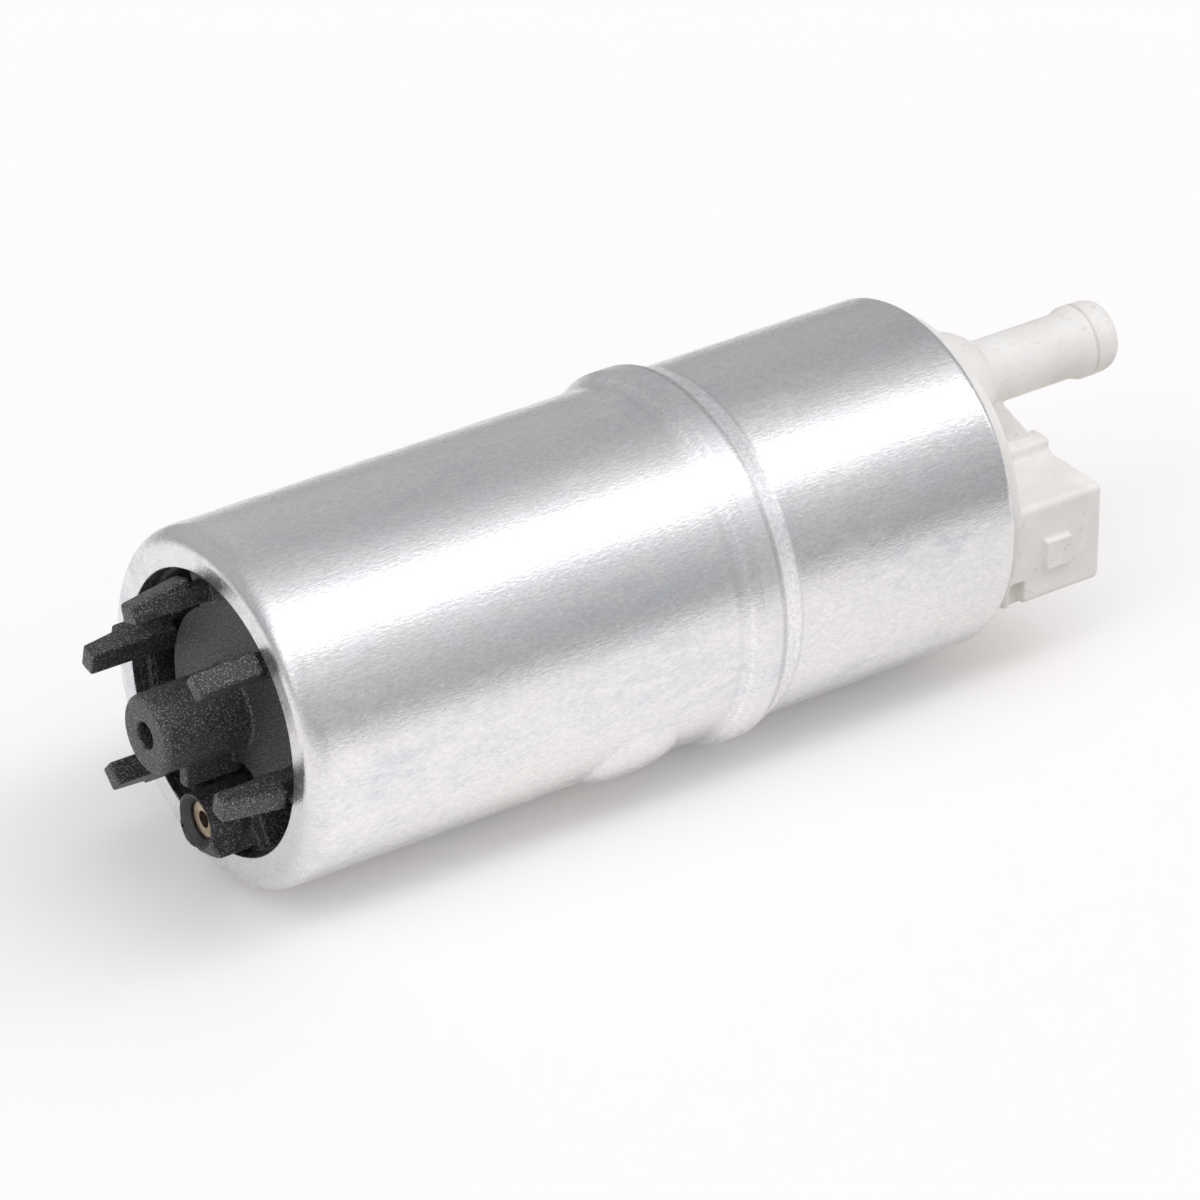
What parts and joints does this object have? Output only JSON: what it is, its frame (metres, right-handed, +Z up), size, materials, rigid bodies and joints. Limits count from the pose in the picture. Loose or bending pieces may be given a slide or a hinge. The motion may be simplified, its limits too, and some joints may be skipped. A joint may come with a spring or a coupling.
{
  "type": "fuel pump",
  "caption": "In-tank electric fuel pump: drawn can with bead, pronged inlet cover, barbed outlet nipple and plug socket; gear pump, motor and valves inside.",
  "frame": {"origin": "on the pump axis, at the middle of the plain barrel between the bead and the rear edge, where the clamp ring holds", "axes": "+X along the pump axis from the inlet prongs to the outlet nipple, +Z up through the nipple's side, -Y towards the plug socket's side"},
  "size_m": [0.1341, 0.0456, 0.0456],
  "materials": {
    "drawn_aluminium": "satin drawn aluminium",
    "black_plastic": "glass-filled, lightly speckled",
    "bronze": "pressed bronze",
    "steel": "ground steel",
    "spring_steel": "drawn spring wire and strip",
    "sintered_steel": "sintered steel",
    "carbon": "pressed carbon graphite",
    "lamination_steel": "stacked sheet steel",
    "copper": "enamelled and bare copper",
    "insulation": "moulded phenolic",
    "flux_steel": "zinc plated steel tube",
    "ferrite": "hard ferrite",
    "ivory_plastic": "natural acetal, satin",
    "seal_rubber": "fluoro rubber",
    "tinned_brass": "tin plated brass strip",
    "valve_plastic": "acetal"
  },
  "bodies": {
    "housing": {"housing_can": "drawn_aluminium", "inlet_cover": "black_plastic", "relief_retainer": "bronze", "relief_spring": "spring_steel", "pump_ring": "sintered_steel", "port_plate": "black_plastic", "front_bush": "carbon", "dowel_pins": "steel", "flux_ring": "flux_steel", "magnet_upper": "ferrite", "magnet_lower": "ferrite", "magnet_clip_left": "spring_steel", "magnet_clip_right": "spring_steel", "outlet_cap": "ivory_plastic", "inlet_seal": "seal_rubber", "outlet_seal": "seal_rubber", "rear_bush": "carbon", "brush_spring_left": "spring_steel", "brush_spring_right": "spring_steel", "brush_lead_left": "copper", "brush_lead_right": "copper", "terminal_left": "tinned_brass", "terminal_right": "tinned_brass", "check_seat": "seal_rubber", "check_spring": "spring_steel"},
    "armature": {"armature_shaft": "steel", "inner_rotor": "sintered_steel", "thrust_washer": "bronze", "armature_core": "lamination_steel", "armature_windings": "copper", "insulating_sleeves": "insulation", "commutator_base": "insulation", "commutator_segments": "copper"},
    "ring_rotor": {"outer_rotor": "sintered_steel"},
    "left_brush": {"brush_left": "carbon"},
    "right_brush": {"brush_right": "carbon"},
    "check_valve": {"check_poppet": "valve_plastic"},
    "relief_valve": {"relief_ball": "steel"}
  },
  "joints": [
    {"name": "armature_spin", "type": "hinge", "parent": "housing", "child": "armature", "pos_m": [0, 0, 0], "axis": [1, 0, 0], "continuous": true},
    {"name": "ring_rotor_spin", "type": "hinge", "parent": "housing", "child": "ring_rotor", "pos_m": [0, 0.00013, 0.00119], "axis": [1, 0, 0], "continuous": true},
    {"name": "left_brush_slide", "type": "slide", "parent": "housing", "child": "left_brush", "axis": [1, 0, 0], "range_m": [0, 0.0015], "stiffness_N_per_m": 400, "springref_m": -0.003, "deforming": ["brush_spring_left", "brush_lead_left"]},
    {"name": "right_brush_slide", "type": "slide", "parent": "housing", "child": "right_brush", "axis": [1, 0, 0], "range_m": [0, 0.0015], "stiffness_N_per_m": 400, "springref_m": -0.003, "deforming": ["brush_spring_right", "brush_lead_right"]},
    {"name": "check_valve_slide", "type": "slide", "parent": "housing", "child": "check_valve", "axis": [1, 0, 0], "range_m": [0, 0.0025], "stiffness_N_per_m": 120, "springref_m": -0.003, "deforming": ["check_spring"]},
    {"name": "relief_valve_slide", "type": "slide", "parent": "housing", "child": "relief_valve", "axis": [-1, 0, 0], "range_m": [0, 0.0012], "stiffness_N_per_m": 1500, "springref_m": -0.002, "deforming": ["relief_spring"]}
  ],
  "couplings": [
    {"joint": "ring_rotor_spin", "follows": "armature_spin", "ratio": 0.85714}
  ]
}
